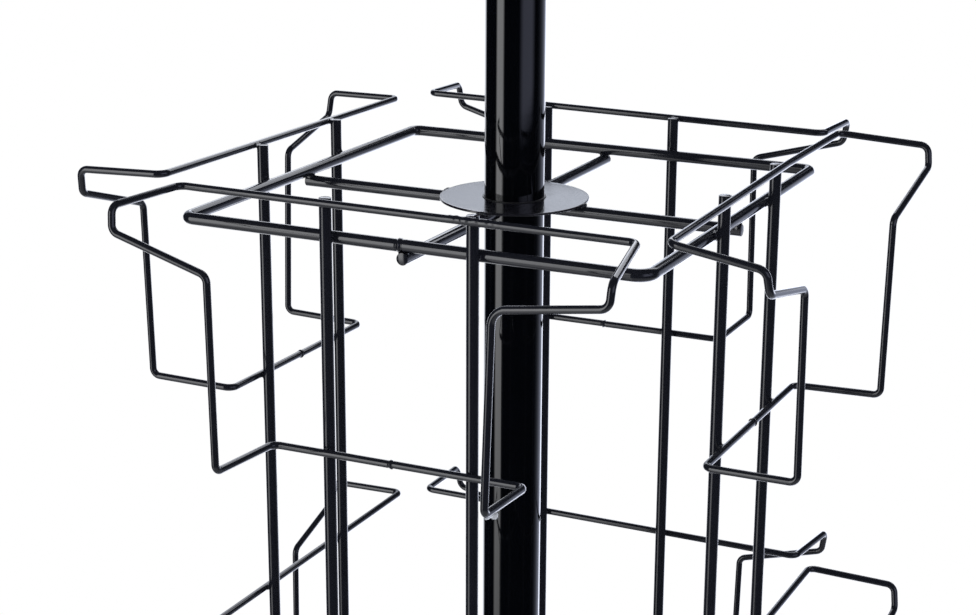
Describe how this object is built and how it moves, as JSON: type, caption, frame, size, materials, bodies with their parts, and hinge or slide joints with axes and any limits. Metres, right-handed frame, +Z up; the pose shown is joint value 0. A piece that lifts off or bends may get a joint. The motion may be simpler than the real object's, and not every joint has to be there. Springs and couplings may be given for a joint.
{
  "type": "rotating display rack",
  "caption": "Floor-standing rotating display rack: a square wire cage with wire pockets on every side turns on a ball bearing around a round pole on a cross base.",
  "frame": {"origin": "on the floor, on the axis of the pole", "axes": "+Z up along the pole, -Y is the front, +X is the right of a person who faces the front"},
  "size_m": [0.6112, 0.6055, 1.475],
  "materials": {
    "pole_enamel": "high-gloss black enamel",
    "wire_powder_coat": "glossy black powder coat on wire",
    "disc_powder_coat": "semi-gloss black powder coat",
    "base_powder_coat": "glossy black powder coat",
    "black_plastic": "moulded black polyethylene",
    "black_nylon": "turned black nylon",
    "pad_nylon": "moulded black nylon",
    "zinc_steel": "bright zinc plate",
    "black_oxide_steel": "satin black oxide",
    "bearing_steel": "ground steel",
    "polished_balls": "polished steel",
    "retainer_brass": "stamped brass"
  },
  "bodies": {
    "stand": {"pole": "pole_enamel", "pole_cap": "black_plastic", "base_hub": "base_powder_coat", "hub_bolts": "black_oxide_steel", "leg_end_caps": "black_plastic", "foot_weld_nuts": "zinc_steel", "foot_lock_nuts": "zinc_steel", "support_collar": "black_oxide_steel", "collar_set_screws": "black_oxide_steel", "bearing_lower_race": "bearing_steel", "leg_front_left": "base_powder_coat", "leg_front_right": "base_powder_coat", "leg_back_left": "base_powder_coat", "leg_back_right": "base_powder_coat"},
    "cage": {"bearing_upper_race": "bearing_steel", "bottom_bushing": "black_nylon", "bottom_disc": "disc_powder_coat", "bottom_ring": "wire_powder_coat", "bottom_spoke_back": "wire_powder_coat", "bottom_spoke_front": "wire_powder_coat", "bottom_spoke_left": "wire_powder_coat", "bottom_spoke_right": "wire_powder_coat", "pocket_bottom_back": "wire_powder_coat", "pocket_bottom_front": "wire_powder_coat", "pocket_bottom_left": "wire_powder_coat", "pocket_bottom_right": "wire_powder_coat", "pocket_middle_back": "wire_powder_coat", "pocket_middle_front": "wire_powder_coat", "pocket_middle_left": "wire_powder_coat", "pocket_middle_right": "wire_powder_coat", "pocket_top_back": "wire_powder_coat", "pocket_top_front": "wire_powder_coat", "pocket_top_left": "wire_powder_coat", "pocket_top_right": "wire_powder_coat", "top_bushing": "black_nylon", "top_disc": "disc_powder_coat", "top_ring": "wire_powder_coat", "top_spoke_back": "wire_powder_coat", "top_spoke_front": "wire_powder_coat", "top_spoke_left": "wire_powder_coat", "top_spoke_right": "wire_powder_coat", "upright_back_left": "wire_powder_coat", "upright_back_right": "wire_powder_coat", "upright_front_left": "wire_powder_coat", "upright_front_right": "wire_powder_coat", "upright_left_left": "wire_powder_coat", "upright_left_right": "wire_powder_coat", "upright_right_left": "wire_powder_coat", "upright_right_right": "wire_powder_coat"},
    "ball_set": {"bearing_balls": "polished_balls", "bearing_retainer": "retainer_brass"},
    "foot_front_left": {"foot_stem_front_left": "zinc_steel", "foot_pad_front_left": "pad_nylon"},
    "foot_front_right": {"foot_stem_front_right": "zinc_steel", "foot_pad_front_right": "pad_nylon"},
    "foot_back_left": {"foot_stem_back_left": "zinc_steel", "foot_pad_back_left": "pad_nylon"},
    "foot_back_right": {"foot_stem_back_right": "zinc_steel", "foot_pad_back_right": "pad_nylon"}
  },
  "joints": [
    {"name": "cage_spin", "type": "hinge", "parent": "stand", "child": "cage", "pos_m": [0, 0, 0.15314], "axis": [0, 0, 1], "continuous": true},
    {"name": "ball_set_spin", "type": "hinge", "parent": "stand", "child": "ball_set", "pos_m": [0, 0, 0.15314], "axis": [0, 0, 1], "continuous": true},
    {"name": "foot_front_left_level", "type": "slide", "parent": "stand", "child": "foot_front_left", "axis": [0, 0, -1], "range_m": [0, 0.01]},
    {"name": "foot_front_right_level", "type": "slide", "parent": "stand", "child": "foot_front_right", "axis": [0, 0, -1], "range_m": [0, 0.01]},
    {"name": "foot_back_left_level", "type": "slide", "parent": "stand", "child": "foot_back_left", "axis": [0, 0, -1], "range_m": [0, 0.01]},
    {"name": "foot_back_right_level", "type": "slide", "parent": "stand", "child": "foot_back_right", "axis": [0, 0, -1], "range_m": [0, 0.01]}
  ],
  "couplings": [
    {"joint": "ball_set_spin", "follows": "cage_spin", "ratio": 0.5}
  ]
}
